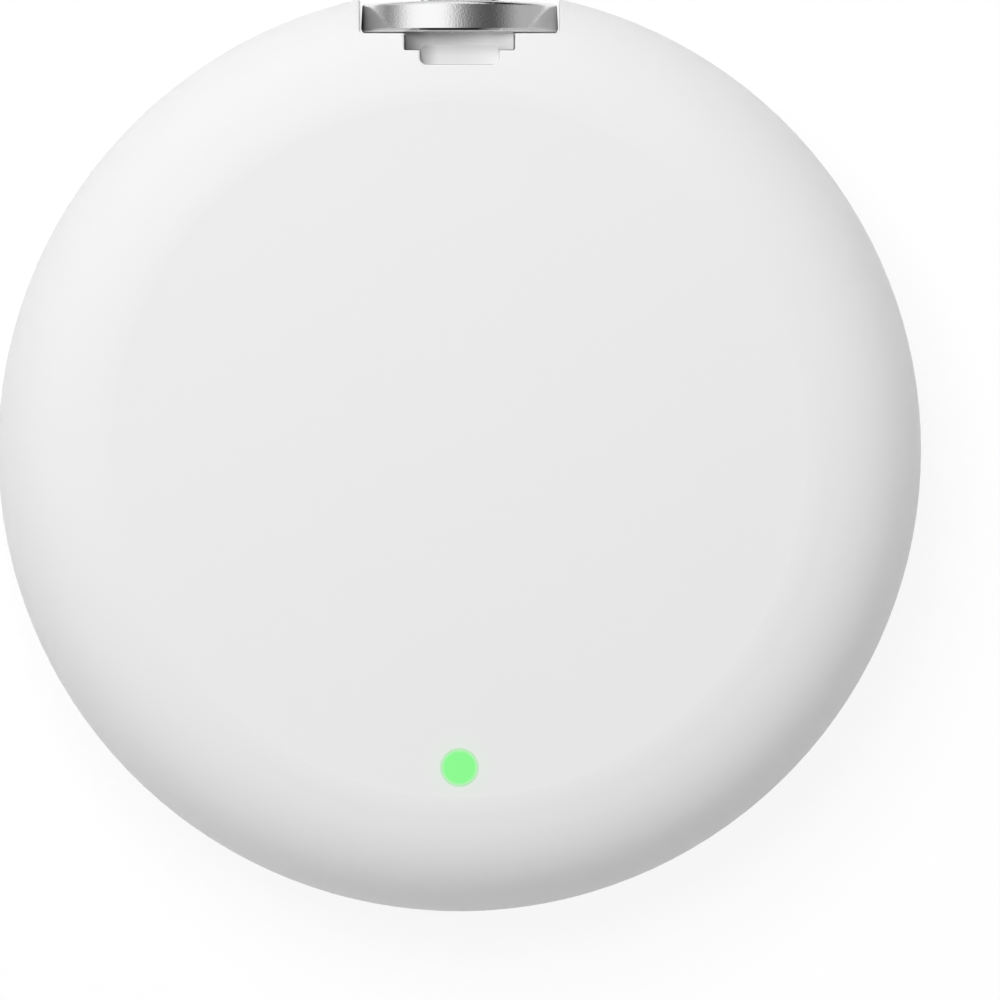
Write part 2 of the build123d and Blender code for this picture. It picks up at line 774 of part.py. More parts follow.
def make_sim_holder():
    height = holder_inner_height + 2 * holder_sheet
    length = sim_length - 2 * sim_showing
    can = on_board(sim_x, sim_y, sim_width + 2 * holder_side, length, height)
    room = Pos(0, 0, holder_sheet) * on_board(sim_x, sim_y, sim_width + 4 * fit_gap, far,
                                              holder_inner_height)
    window = Pos(0, 0, height / 2) * on_board(sim_x, sim_y, sim_width - 2 * holder_window_side,
                                              length - 2 * holder_window_end, height)
    return can - room - window


def make_processor():
    return on_board(processor_x, processor_y, processor_side, processor_side, chip_height)


def make_memory_chip():
    return on_board(memory_x, -memory_drop, memory_width, memory_length, chip_height)


def make_crystal():
    return on_board(crystal_inset - board_radius, crystal_rise, crystal_width, crystal_length, chip_height)


def make_power_chip():
    return on_board(power_x, power_y, power_chip_side, power_chip_side, chip_height)


def make_power_inductor():
    post_y = screw_circle_radius * sin(radians(screw_angle))
    y = post_y - front_post_diameter / 2 - inductor_post_gap - inductor_side / 2
    coil = on_board(inductor_x, y, inductor_side, inductor_side, inductor_height)
    return chamfer(coil.edges().filter_by(Axis.Z), inductor_corner)


def make_motion_sensor():
    return on_board(module_x, motion_y, sensor_side, sensor_side, chip_height)


def make_bluetooth_antenna():
    return on_board(bluetooth_inset - board_radius, bluetooth_rise, chip_antenna_width,
                    chip_antenna_length, chip_height)


def make_hall_sensor():
    return on_board(hall_x, hall_y, hall_length, hall_width, chip_height)


def make_board_passives():
    # Rows of small two-pin parts beside the chips they serve: start x, y and how many.
    part = on_board(0, 0, passive_width, passive_length, passive_height)
    rows = [
        (processor_x - passive_pitch, processor_y + processor_side / 2 + row_step, 3),
        (power_x - passive_pitch, power_y + power_chip_side / 2 + row_step, 3),
        (module_x - 4 * passive_pitch, module_row_y, 6),
        (sim_x - 2 * passive_pitch, sim_y - sim_length / 2 - row_step, 5),
        (memory_x - passive_pitch, -memory_drop - memory_length / 2 - row_step, 2),
        (-hall_x - passive_pitch, hall_y, 3),
        (led_width + passive_pitch, light_y + passive_length, 3),
    ]
    return Compound([Pos(x + i * passive_pitch, y, 0) * part for x, y, count in rows for i in range(count)])


def make_cellular_antenna():
    # A flex strip stuck round the inside of the front shell's rim, at the bottom.
    skin = case_body(wall + film_gap) - case_body(wall + film_gap + flex_thickness)
    skin &= block((-far, far), (-far, far), (middle_z + flex_low_rise, middle_z + flex_high_rise))
    across_x = far * sin(radians(flex_span / 2))
    down_y = -far * cos(radians(flex_span / 2))
    sector = Polygon((0, 0), (-across_x, down_y), (-across_x, -far), (across_x, -far),
                     (across_x, down_y), align=None)
    return skin & extrude(sector, far)


def flex_inner_radius(z):
    edge = front_edge_radius - wall - film_gap - flex_thickness
    return case_radius - front_edge_radius + sqrt(edge**2 - (z - middle_z)**2)


def make_antenna_contacts():
    # Two sprung strips that carry the board's signal out to the flex antenna.
    arm_z = middle_z + contact_arm_rise
    tip = flex_inner_radius(arm_z) - fit_gap
    foot_start = board_radius - contact_foot_inset
    foot_end = foot_start + contact_foot_length
    foot = block((foot_start, foot_end), across(contact_width), (board_top_z, board_top_z + contact_sheet))
    riser = block((foot_end - contact_sheet, foot_end), across(contact_width),
                  (board_top_z, arm_z))
    arm = block((foot_end - contact_sheet, tip), across(contact_width),
                (arm_z - contact_sheet, arm_z))
    clip = foot + riser + arm
    return Compound([Rot(0, 0, contact_angle + i * contact_spacing) * clip for i in (0, 1)])


def make_battery_cell():
    cell = block(across(battery_width), (battery_low_y, battery_low_y + battery_length),
                 (battery_low_z, battery_top_z))
    cell = fillet(cell.edges().filter_by(Axis.Z), battery_corner)
    ends = cell.edges().group_by(Axis.Z)
    return fillet(ends[0] + ends[-1], battery_edge_round)


def make_battery_pad():
    low_y = battery_low_y + battery_pad_margin
    return block(across(battery_width - 2 * battery_pad_margin),
                 (low_y, low_y + battery_length - 2 * battery_pad_margin), (wall, battery_low_z))


def make_battery_circuit():
    return block(across(circuit_width), (circuit_low_y, circuit_high_y),
                 (battery_middle_z - circuit_height / 2, battery_middle_z + circuit_height / 2))


def make_battery_lead(side):
    # Out of the cell's circuit, up over the frame's wall and into the plug under the board.
    start_z = battery_middle_z + lead_start_rise
    end_z = board_low_z - connector_height / 2 - plug_drop
    x = lead_x + side * lead_spacing / 2
    turn = atan2(end_z - start_z, plug_reach - lead_straight - lead_plug_straight)
    bend = lead_bend_share * min(lead_straight, lead_plug_straight) / tan(turn / 2)
    path = FilletPolyline(
        (x, circuit_high_y, start_z), (x, circuit_high_y + lead_straight, start_z),
        (x, plug_y - lead_plug_straight, end_z), (x, plug_y, end_z), radius=bend)
    return sweep(Plane(path @ 0, z_dir=path % 0) * Circle(lead_diameter / 2), path)


def make_red_battery_lead():
    return make_battery_lead(1)


def make_black_battery_lead():
    return make_battery_lead(-1)


def connector_block(low_y, length):
    return block((lead_x - connector_width / 2, lead_x + connector_width / 2),
                 (low_y, low_y + length), (board_low_z - connector_height, board_low_z))


def make_battery_plug():
    return Pos(0, 0, -plug_drop) * connector_block(plug_y, plug_length)


def make_battery_header():
    return connector_block(plug_y + plug_length, header_length)


def make_inner_frame():
    # A walled tray round the battery, with sleeves round the case screws' bosses and four
    # posts that carry the board.
    low_z = wall + fit_gap
    sleeve_inner = rear_boss_diameter + 4 * fit_gap
    frame = block(across(frame_room_x + 2 * frame_wall),
                  (frame_room_low_y - frame_wall, frame_room_high_y + frame_wall),
                  (low_z, low_z + frame_height))
    for x, y in screw_places():
        frame += rod(x, y, (low_z, low_z + sleeve_height), sleeve_inner + 2 * frame_wall)
    for x, y in board_screw_places():
        frame += rod(x, y, (low_z, board_low_z), board_post_diameter)
    frame -= block(across(frame_room_x), (frame_room_low_y, frame_room_high_y), (-far, far))
    for x, y in screw_places():
        frame -= rod(x, y, (-far, far), sleeve_inner)
    for x, y in board_screw_places():
        thread = (board_top_z - board_screw_length - fit_gap, far)
        frame -= rod(x, y, thread, board_screw_diameter + 2 * press_gap)
    lead_gap = lead_spacing + lead_diameter + 4 * fit_gap
    frame -= block((lead_x - lead_gap / 2, lead_x + lead_gap / 2), (frame_room_high_y - wall, far),
                   (battery_low_z + wall, far))
    return frame & case_body(wall + fit_gap)


def make_board_screws():
    screw = Rot(180, 0, 0) * make_screw(board_screw_head_diameter, board_screw_head_height,
                                        board_screw_diameter, board_screw_length, board_screw_slot)
    return Compound([Pos(x, y, board_top_z) * screw for x, y in board_screw_places()])


nodes = {
    "front_shell": make_front_shell,
    "rear_shell": make_rear_shell,
    "case_seal": make_case_seal,
    "case_screws": make_case_screws,
    "screw_plugs": make_screw_plugs,
    "strap_key": make_strap_key,
    "key_magnet": make_key_magnet,
    "key_plug": make_key_plug,
    "release_tab": make_release_tab,
    "catch_spring": make_catch_spring,
    "key_socket": make_key_socket,
    "port_seal": make_port_seal,
    "charge_port_shell": make_charge_port_shell,
    "charge_port_tongue": make_charge_port_tongue,
    "light_pipe": make_light_pipe,
    "status_led": make_status_led,
    "main_board": make_main_board,
    "board_screws": make_board_screws,
    "board_passives": make_board_passives,
    "gnss_antenna": make_gnss_antenna,
    "gnss_electrode": make_gnss_electrode,
    "gnss_pin": make_gnss_pin,
    "gnss_pad": make_gnss_pad,
    "cellular_module": make_cellular_module,
    "module_shield": make_module_shield,
    "cellular_antenna": make_cellular_antenna,
    "antenna_contacts": make_antenna_contacts,
    "sim_card": make_sim_card,
    "sim_holder": make_sim_holder,
    "processor": make_processor,
    "memory_chip": make_memory_chip,
    "crystal": make_crystal,
    "power_chip": make_power_chip,
    "power_inductor": make_power_inductor,
    "motion_sensor": make_motion_sensor,
    "bluetooth_antenna": make_bluetooth_antenna,
    "hall_sensor": make_hall_sensor,
    "battery_cell": make_battery_cell,
    "battery_circuit": make_battery_circuit,
    "battery_pad": make_battery_pad,
    "battery_lead_red": make_red_battery_lead,
    "battery_lead_black": make_black_battery_lead,
    "battery_plug": make_battery_plug,
    "battery_header": make_battery_header,
    "inner_frame": make_inner_frame,
}


def main():
    os.makedirs("parts", exist_ok=True)
    for name, make in nodes.items():
        shape = make()
        export_step(shape, f"parts/{name}.step")


main()
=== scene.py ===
# A round white GPS tracker on a pale studio floor, seen straight onto its face.
import bmesh
import bpy
import math
from mathutils import Matrix, Vector


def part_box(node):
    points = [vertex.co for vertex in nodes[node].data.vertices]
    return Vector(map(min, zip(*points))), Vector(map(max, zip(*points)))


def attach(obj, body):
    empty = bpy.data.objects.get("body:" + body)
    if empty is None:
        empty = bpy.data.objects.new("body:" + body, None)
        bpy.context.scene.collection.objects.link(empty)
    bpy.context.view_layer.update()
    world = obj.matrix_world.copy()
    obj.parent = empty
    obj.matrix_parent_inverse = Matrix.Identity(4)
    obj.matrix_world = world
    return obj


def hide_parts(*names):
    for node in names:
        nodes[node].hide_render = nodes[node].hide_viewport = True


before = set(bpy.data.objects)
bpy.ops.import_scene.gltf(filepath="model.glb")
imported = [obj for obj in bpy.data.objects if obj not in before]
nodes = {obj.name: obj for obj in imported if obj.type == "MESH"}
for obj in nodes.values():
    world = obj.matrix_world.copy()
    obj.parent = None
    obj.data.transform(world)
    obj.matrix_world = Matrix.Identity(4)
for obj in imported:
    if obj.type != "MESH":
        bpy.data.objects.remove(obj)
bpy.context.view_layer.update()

scene = bpy.context.scene
mm = 0.001

# places that the looks follow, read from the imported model
lightLow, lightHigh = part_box("light_pipe")
lightCentre = Vector(((lightLow.x + lightHigh.x) / 2, (lightLow.y + lightHigh.y) / 2, lightHigh.z))
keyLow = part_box("strap_key")[0]
tabLow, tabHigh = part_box("release_tab")
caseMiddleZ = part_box("rear_shell")[1].z  # the seam's height

black = (0, 0, 0, 1)
white = (1, 1, 1, 1)


def newMaterial(name):
    material = bpy.data.materials.new(name)
    material.use_nodes = True
    tree = material.node_tree
    return material, tree, tree.nodes["Principled BSDF"]


def addNode(tree, kind, **settings):
    node = tree.nodes.new(kind)
    for key, value in settings.items():
        setattr(node, key, value)
    return node


def feed(tree, value, socket):
    # plugs a socket in, or sets a plain value
    if isinstance(value, bpy.types.NodeSocket):
        tree.links.new(value, socket)
    else:
        socket.default_value = value


def math2(tree, operation, a, b=0.0, clamp=False):
    node = addNode(tree, "ShaderNodeMath", operation=operation, use_clamp=clamp)
    feed(tree, a, node.inputs[0])
    feed(tree, b, node.inputs[1])
    return node.outputs[0]


def product(tree, first, *others):
    for other in others:
        first = math2(tree, "MULTIPLY", first, other)
    return first


def ramp(tree, value, fromLow, fromHigh, toLow, toHigh, smooth=True):
    interpolation = "SMOOTHSTEP" if smooth else "LINEAR"
    node = addNode(tree, "ShaderNodeMapRange", interpolation_type=interpolation)
    feed(tree, value, node.inputs["Value"])
    limits = {"From Min": fromLow, "From Max": fromHigh, "To Min": toLow, "To Max": toHigh}
    for name, limit in limits.items():
        feed(tree, limit, node.inputs[name])
    return node.outputs["Result"]


noiseSpan = (0.3, 0.7)  # most of a noise texture lies between these


def vary(tree, texture, low, high):
    return ramp(tree, texture, *noiseSpan, low, high)


def roughAround(tree, texture, look):
    middle, either = look["roughness"], look["roughSpread"]
    return vary(tree, texture, middle - either, middle + either)


def blendColors(tree, factor, a, b):
    # the node's colour sockets are its inputs 6 and 7 and its output 2
    node = addNode(tree, "ShaderNodeMix", data_type="RGBA")
    feed(tree, factor, node.inputs[0])
    feed(tree, a, node.inputs[6])
    feed(tree, b, node.inputs[7])
    return node.outputs[2]


def mixShaders(tree, factor, first, second):
    node = addNode(tree, "ShaderNodeMixShader")
    tree.links.new(factor, node.inputs[0])
    tree.links.new(first.outputs[0], node.inputs[1])
    tree.links.new(second.outputs[0], node.inputs[2])
    return node


def partXyz(tree):
    # the part's own coordinates, as sockets called X, Y and Z
    split = addNode(tree, "ShaderNodeSeparateXYZ")
    tree.links.new(addNode(tree, "ShaderNodeTexCoord").outputs["Object"], split.inputs[0])
    return split.outputs


def noise(tree, size, detail=2.0, roughness=0.5, stretch=(1, 1, 1)):
    # noise in the part's own space: size is that of one blotch, in metres
    place = addNode(tree, "ShaderNodeTexCoord").outputs["Object"]
    mapping = addNode(tree, "ShaderNodeMapping")
    mapping.inputs["Scale"].default_value = [s / size for s in stretch]
    tree.links.new(place, mapping.inputs["Vector"])
    node = addNode(tree, "ShaderNodeTexNoise")
    tree.links.new(mapping.outputs["Vector"], node.inputs["Vector"])
    node.inputs["Scale"].default_value = 1.0
    node.inputs["Detail"].default_value = detail
    node.inputs["Roughness"].default_value = roughness
    return node.outputs["Fac"]


def bump(tree, height, depth, strength=1.0, under=None):
    node = addNode(tree, "ShaderNodeBump")
    node.inputs["Strength"].default_value = strength
    node.inputs["Distance"].default_value = depth
    tree.links.new(height, node.inputs["Height"])
    if under is not None:
        tree.links.new(under, node.inputs["Normal"])
    return node.outputs["Normal"]


def distanceFrom(tree, centre, flatten=(1, 1, 1)):
    # how far a point is from a place on the part, in metres
    place = addNode(tree, "ShaderNodeTexCoord").outputs["Object"]
    offset = addNode(tree, "ShaderNodeVectorMath", operation="SUBTRACT")
    tree.links.new(place, offset.inputs[0])
    offset.inputs[1].default_value = centre
    scaled = addNode(tree, "ShaderNodeVectorMath", operation="MULTIPLY")
    tree.links.new(offset.outputs[0], scaled.inputs[0])
    scaled.inputs[1].default_value = flatten
    length = addNode(tree, "ShaderNodeVectorMath", operation="LENGTH")
    tree.links.new(scaled.outputs[0], length.inputs[0])
    return length.outputs["Value"]


def rgb(value):
    return (*value, 1.0)


def dress(nodeName, material):
    mesh = nodes[nodeName].data
    mesh.materials.clear()
    mesh.materials.append(material)


def dressAll(looks, make):
    # each look: the nodes that wear it, and its values
    for name, (wearers, look) in looks.items():
        material = make(name, look)
        for wearer in wearers:
            dress(wearer, material)


# moulded plastics: a faint unevenness of tone, and a fine texture from the mould
plasticDefaults = {"blotch": 6 * mm, "toneSpread": 0.02, "roughSpread": 0.04, "grain": 0.12 * mm,
                   "grainDepth": 0.004 * mm, "grainStrength": 0.35, "ior": 1.47, "specular": 0.5}


def mouldedPlastic(name, values):
    look = {**plasticDefaults, **values}
    material, tree, bsdf = newMaterial(name)
    darker = [c * (1 - look["toneSpread"]) for c in look["color"]]
    color = blendColors(tree, noise(tree, look["blotch"], detail=3), rgb(look["color"]), rgb(darker))
    # painted light and shade: the lit spot's glow and halo, and the tab's shade in its pocket
    if "paintedLightAndShade" in look:
        color = look["paintedLightAndShade"](tree, bsdf, color)
    tree.links.new(color, bsdf.inputs["Base Color"])
    grain = noise(tree, look["grain"])
    tree.links.new(roughAround(tree, grain, look), bsdf.inputs["Roughness"])
    bsdf.inputs["IOR"].default_value = look["ior"]
    bsdf.inputs["Specular IOR Level"].default_value = look["specular"]
    normal = bump(tree, grain, look["grainDepth"], look["grainStrength"])
    if "swell" in look:
        normal = bump(tree, look["swell"](tree), 1.0, under=normal)
    tree.links.new(normal, bsdf.inputs["Normal"])
    return material


# the face stays nearly flat until close to its rim, and then turns down faster
shoulder = {"fromRadius": 23.8 * mm, "toRadius": 28.6 * mm, "rise": 0.32 * mm}


def shoulderSwell(tree):
    away = distanceFrom(tree, (0, 0, 0), (1, 1, 0))
    return ramp(tree, away, shoulder["fromRadius"], shoulder["toRadius"], 0.0, shoulder["rise"])


# the lit spot: green through the shell's face, fading over its edge
lightSpot = {
    "green": (0.22, 0.80, 0.235),
    "glow": (0.037, 0.155, 0.042),
    "coreRadius": 0.92 * mm,
    "edgeRadius": 1.40 * mm,
    "haloFrom": 1.12 * mm,
    "haloTo": 2.60 * mm,
    "haloShare": 0.35,
    "halo": (0.76, 0.88, 0.76),
}


def addSpotGlow(tree, bsdf, baseColor):
    away = distanceFrom(tree, lightCentre, (1, 1, 0))
    core = ramp(tree, away, lightSpot["coreRadius"], lightSpot["edgeRadius"], 1.0, 0.0)
    # painted glow: round the spot the shell's colour is lightened towards pale green, where the light
    # spreads through it
    halo = ramp(tree, away, lightSpot["haloFrom"], lightSpot["haloTo"], lightSpot["haloShare"], 0.0)
    haloLit = blendColors(tree, halo, baseColor, rgb(lightSpot["halo"]))
    tree.links.new(blendColors(tree, core, black, rgb(lightSpot["glow"])), bsdf.inputs["Emission Color"])
    bsdf.inputs["Emission Strength"].default_value = 1.0
    return blendColors(tree, core, haloLit, rgb(lightSpot["green"]))


# the tab lies low in its pocket, so it's in the shade of the walls on its left and above it
tabShade = {  # where each shade starts and stops, and its two levels
    "left": (-2.55 * mm, -1.25 * mm, 0.5556, 1.0),
    "right": (0.0, 2.4 * mm, 0.90, 1.0),
    "top": (tabHigh.y - 0.75 * mm, tabHigh.y, 1.0, 0.82),
}


def addTabShade(tree, bsdf, baseColor):
    xyz = partXyz(tree)
    shade = product(tree, ramp(tree, xyz["X"], *tabShade["left"]),
                    ramp(tree, xyz["X"], *tabShade["right"], smooth=False),
                    ramp(tree, xyz["Y"], *tabShade["top"]))
    return blendColors(tree, shade, black, baseColor)


caseWhite = {"color": (0.80, 0.80, 0.80), "roughness": 0.46, "roughSpread": 0.03, "toneSpread": 0.008,
             "blotch": 9 * mm, "grain": 0.10 * mm, "grainDepth": 0.0015 * mm, "grainStrength": 0.3,
             "ior": 1.45, "specular": 0.45}

plasticLooks = {
    "frontShellWhite": (["front_shell"], {**caseWhite, "paintedLightAndShade": addSpotGlow, "swell": shoulderSwell}),
    "rearShellWhite": (["rear_shell"], caseWhite),
    "lightWindow": (["light_pipe"], {**caseWhite, "paintedLightAndShade": addSpotGlow}),
    # the tab's white is a darker copy of the case's white: painted shade for the tab lying low in its
    # pocket
    "tabWhiteShaded": (["release_tab"], {**caseWhite, "color": (0.74, 0.74, 0.74), "roughness": 0.4,
                                   "grain": 0.06 * mm, "paintedLightAndShade": addTabShade}),
    "plugGrey": (["key_plug"], {"color": (0.20, 0.20, 0.21), "roughness": 0.5, "toneSpread": 0.1}),
    "socketGrey": (["key_socket"], {"color": (0.08, 0.08, 0.085), "roughness": 0.55, "toneSpread": 0.1}),
    "frameGrey": (["inner_frame"], {"color": (0.28, 0.28, 0.29), "roughness": 0.5, "toneSpread": 0.06}),
    "chipBlack": (["processor", "memory_chip", "power_chip", "power_inductor", "motion_sensor",
                   "hall_sensor", "charge_port_tongue"],
                  {"color": (0.02, 0.02, 0.021), "roughness": 0.42, "toneSpread": 0.3, "blotch": 1 * mm,
                   "grain": 0.05 * mm, "grainDepth": 0.003 * mm}),
    "connectorCream": (["battery_plug", "battery_header", "sim_card"],
                       {"color": (0.74, 0.70, 0.58), "roughness": 0.4, "toneSpread": 0.04}),
    "wireRed": (["battery_lead_red"], {"color": (0.5, 0.02, 0.015), "roughness": 0.35, "toneSpread": 0.1}),
    "wireBlack": (["battery_lead_black"], {"color": (0.015, 0.015, 0.015), "roughness": 0.35,
                                           "toneSpread": 0.2}),
    "lampResin": (["status_led"], {"color": (0.86, 0.84, 0.66), "roughness": 0.2, "toneSpread": 0.05}),
    "ceramicTan": (["gnss_antenna", "bluetooth_antenna", "board_passives"],
                   {"color": (0.46, 0.33, 0.22), "roughness": 0.3, "toneSpread": 0.2, "blotch": 0.5 * mm,
                    "grain": 0.05 * mm}),
}
dressAll(plasticLooks, mouldedPlastic)
print("plastics:", len(plasticLooks))


# rubber and foam: dull, with a dusty bloom
rubberDefaults = {"bloomFrom": 0.35, "bloomTo": 0.7, "roughSpread": 0.06, "specular": 0.3,
                  "grainStrength": 0.5}


def softRubber(name, values):
    look = {**rubberDefaults, **values}
    material, tree, bsdf = newMaterial(name)
    dust = noise(tree, look["blotch"], detail=6, roughness=0.65)
    bloom = ramp(tree, dust, look["bloomFrom"], look["bloomTo"], 0, 1)
    color = blendColors(tree, bloom, rgb(look["color"]), rgb(look["bloom"]))
    tree.links.new(color, bsdf.inputs["Base Color"])
    tree.links.new(roughAround(tree, dust, look), bsdf.inputs["Roughness"])
    bsdf.inputs["Specular IOR Level"].default_value = look["specular"]
    grain = noise(tree, look["grain"], detail=3)
    tree.links.new(bump(tree, grain, look["grainDepth"], look["grainStrength"]), bsdf.inputs["Normal"])
    return material


rubberLooks = {
    "plugRubber": (["screw_plugs"], {"color": (0.74, 0.74, 0.74), "bloom": (0.78, 0.78, 0.78),
                                     "roughness": 0.72, "blotch": 1.2 * mm, "grain": 0.09 * mm,
                                     "grainDepth": 0.006 * mm}),
    "sealRubber": (["case_seal", "port_seal"], {"color": (0.03, 0.03, 0.032), "bloom": (0.06, 0.06, 0.06),
                                                "roughness": 0.7, "blotch": 1 * mm, "grain": 0.1 * mm,
                                                "grainDepth": 0.006 * mm}),
    "foamPad": (["battery_pad", "gnss_pad"], {"color": (0.04, 0.04, 0.04), "bloom": (0.08, 0.08, 0.08),
                                              "roughness": 0.85, "blotch": 0.4 * mm, "grain": 0.15 * mm,
                                              "grainDepth": 0.03 * mm}),
}
dressAll(rubberLooks, softRubber)
print("rubbers:", len(rubberLooks))


# bright metals: brushed along one way, or finely grained
metalDefaults = {"blotch": 1.5 * mm, "stain": 0.9, "stretch": (1, 1, 1), "roughFrom": 0.8, "roughTo": 1.25,
                 "grainStrength": 0.4}


def plainMetal(name, values):
    look = {**metalDefaults, **values}
    material, tree, bsdf = newMaterial(name)
    bsdf.inputs["Metallic"].default_value = 1.0
    stained = [c * look["stain"] for c in look["color"]]
    color = blendColors(tree, noise(tree, look["blotch"], detail=4), rgb(look["color"]), rgb(stained))
    tree.links.new(color, bsdf.inputs["Base Color"])
    brushing = noise(tree, look["grain"], detail=3, stretch=look["stretch"])
    rough = look["roughness"]
    tree.links.new(vary(tree, brushing, rough * look["roughFrom"], rough * look["roughTo"]),
                   bsdf.inputs["Roughness"])
    tree.links.new(bump(tree, brushing, look["grainDepth"], look["grainStrength"]), bsdf.inputs["Normal"])
    return material


metalLooks = {
    "springWire": (["catch_spring"], {"color": (0.56, 0.56, 0.55), "roughness": 0.28, "grain": 0.05 * mm,
                                      "grainDepth": 0.002 * mm, "stretch": (1, 1, 0.1)}),
    "screwZinc": (["case_screws", "board_screws"], {"color": (0.50, 0.50, 0.50), "roughness": 0.36,
                                                    "grain": 0.08 * mm, "grainDepth": 0.003 * mm}),
    "magnetNickel": (["key_magnet"], {"color": (0.62, 0.60, 0.55), "roughness": 0.2, "grain": 0.2 * mm,
                                      "grainDepth": 0.002 * mm}),
    "tinnedSteel": (["charge_port_shell", "module_shield", "sim_holder", "crystal"],
                    {"color": (0.64, 0.64, 0.63), "roughness": 0.32, "grain": 0.06 * mm,
                     "grainDepth": 0.002 * mm, "stretch": (0.1, 1, 1)}),
    "firedSilver": (["gnss_electrode", "gnss_pin"], {"color": (0.78, 0.76, 0.72), "roughness": 0.42,
                                                     "grain": 0.07 * mm, "grainDepth": 0.004 * mm}),
    "goldPlate": (["antenna_contacts"], {"color": (0.75, 0.53, 0.22), "roughness": 0.25,
                                         "grain": 0.08 * mm, "grainDepth": 0.002 * mm}),
    "batteryFoil": (["battery_cell"], {"color": (0.66, 0.67, 0.69), "roughness": 0.38, "grain": 0.5 * mm,
                                       "grainDepth": 0.02 * mm}),
}
dressAll(metalLooks, plainMetal)
print("metals:", len(metalLooks))


# from here on, two pieces are made finer than their solids: the strap key and the release tab
def spread(start, stop, steps):
    # evenly spaced values, both ends among them
    return [start + (stop - start) * i / steps for i in range(steps + 1)]


def mirrorQuarter(quarter):
    # a closed outline of (x, z, normal x, normal z) from its part with x and z above 0
    onAxis = -1e-9  # a mirrored point that isn't past this is there already
    back = [(x, -z, nx, -nz) for x, z, nx, nz in reversed(quarter)]
    right = quarter + [point for point in back if point[1] < onAxis]
    left = [(-x, z, -nx, nz) for x, z, nx, nz in reversed(right)]
    return right + [point for point in left if point[0] < onAxis]


def stackRings(name, rings):
    # a closed mesh through rings of equally many points, with its two ends closed to their middles
    maker = bmesh.new()
    rows = [[maker.verts.new(point) for point in ring] for ring in rings]
    for lower, upper in zip(rows, rows[1:]):
        for i, corner in enumerate(lower):
            following = (i + 1) % len(lower)
            maker.faces.new((corner, lower[following], upper[following], upper[i]))
    for row in (rows[0], rows[-1]):
        middle = maker.verts.new(sum((v.co for v in row), Vector()) / len(row))
        for i, corner in enumerate(row):
            maker.faces.new((corner, row[(i + 1) % len(row)], middle))
    bmesh.ops.recalc_face_normals(maker, faces=maker.faces[:])
    mesh = bpy.data.meshes.new(name)
    maker.to_mesh(mesh)
    maker.free()
    piece = bpy.data.objects.new(name, mesh)
    scene.collection.objects.link(piece)
    return piece


sharpFrom = 32  # degrees between two faces


def joinPieces(name, piece, steps):
    # adds and cuts the other pieces, and gives back one mesh with its sharp edges marked
    for other, operation in steps:
        cut = piece.modifiers.new(other.name, "BOOLEAN")
        cut.operation = operation
        cut.solver = "EXACT"
        cut.object = other
    bpy.context.view_layer.update()
    evaluated = piece.evaluated_get(bpy.context.evaluated_depsgraph_get())
    mesh = bpy.data.meshes.new_from_object(evaluated)
    for leftover in [other for other, _ in steps] + [piece]:
        bpy.data.objects.remove(leftover)
    mesh.name = name
    for face in mesh.polygons:
        face.use_smooth = True
    mesh.set_sharp_from_angle(angle=math.radians(sharpFrom))
    joined = bpy.data.objects.new(name, mesh)
    scene.collection.objects.link(joined)
    return joined


def takeOver(piece, nodeName, bodyName, material):
    # the finer piece stands for its CAD node, in the same place and finish
    piece.data.materials.clear()
    piece.data.materials.append(material)
    dress(nodeName, material)
    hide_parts(nodeName)
    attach(piece, bodyName)
    print(piece.name, len(piece.data.polygons), "faces")


# the strap key: polished round its flange, satin on the boss under it
strapKeyLook = {
    "color": (0.85, 0.85, 0.855),
    "bossColor": (0.96, 0.96, 0.965),
    "polishedRoughness": 0.11,
    "satinRoughness": 0.40,
    "polishedFrom": (keyLow.y + 1.09 * mm, keyLow.y + 1.17 * mm),
    "satinMetallic": 0.54,
    "edgeMetallic": 0.5, "edgeTop": (keyLow.y + 1.23 * mm, keyLow.y + 1.29 * mm),  # the flange's low edge
    "speckle": 0.12 * mm, "speckleDepth": 0.021 * mm, "speckleStrength": 0.5,
    "speckleFrom": (keyLow.y + 1.42 * mm, keyLow.y + 1.52 * mm),
    "speckleBelow": 0.1, "roughBelow": 0.5,  # their shares lower down, where the metal is smoother
    "roughSpread": 0.15,
    # painted shade from left to right, where each starts and stops, and its two levels: the flange's ends
    # darker where they mirror the notch's shaded walls, the boss darker at its sides where the slot's walls
    # shade it
    "leftEndShade": (-6.34 * mm, -6.08 * mm, 0.30, 1.0),
    "rightEndShade": (6.20 * mm, 6.40 * mm, 1.0, 0.52),
    "bossLeftShade": (-3.60 * mm, -1.75 * mm, 0.36, 1.0),
    "bossRightShade": (1.40 * mm, 3.00 * mm, 1.0, 0.84),
}


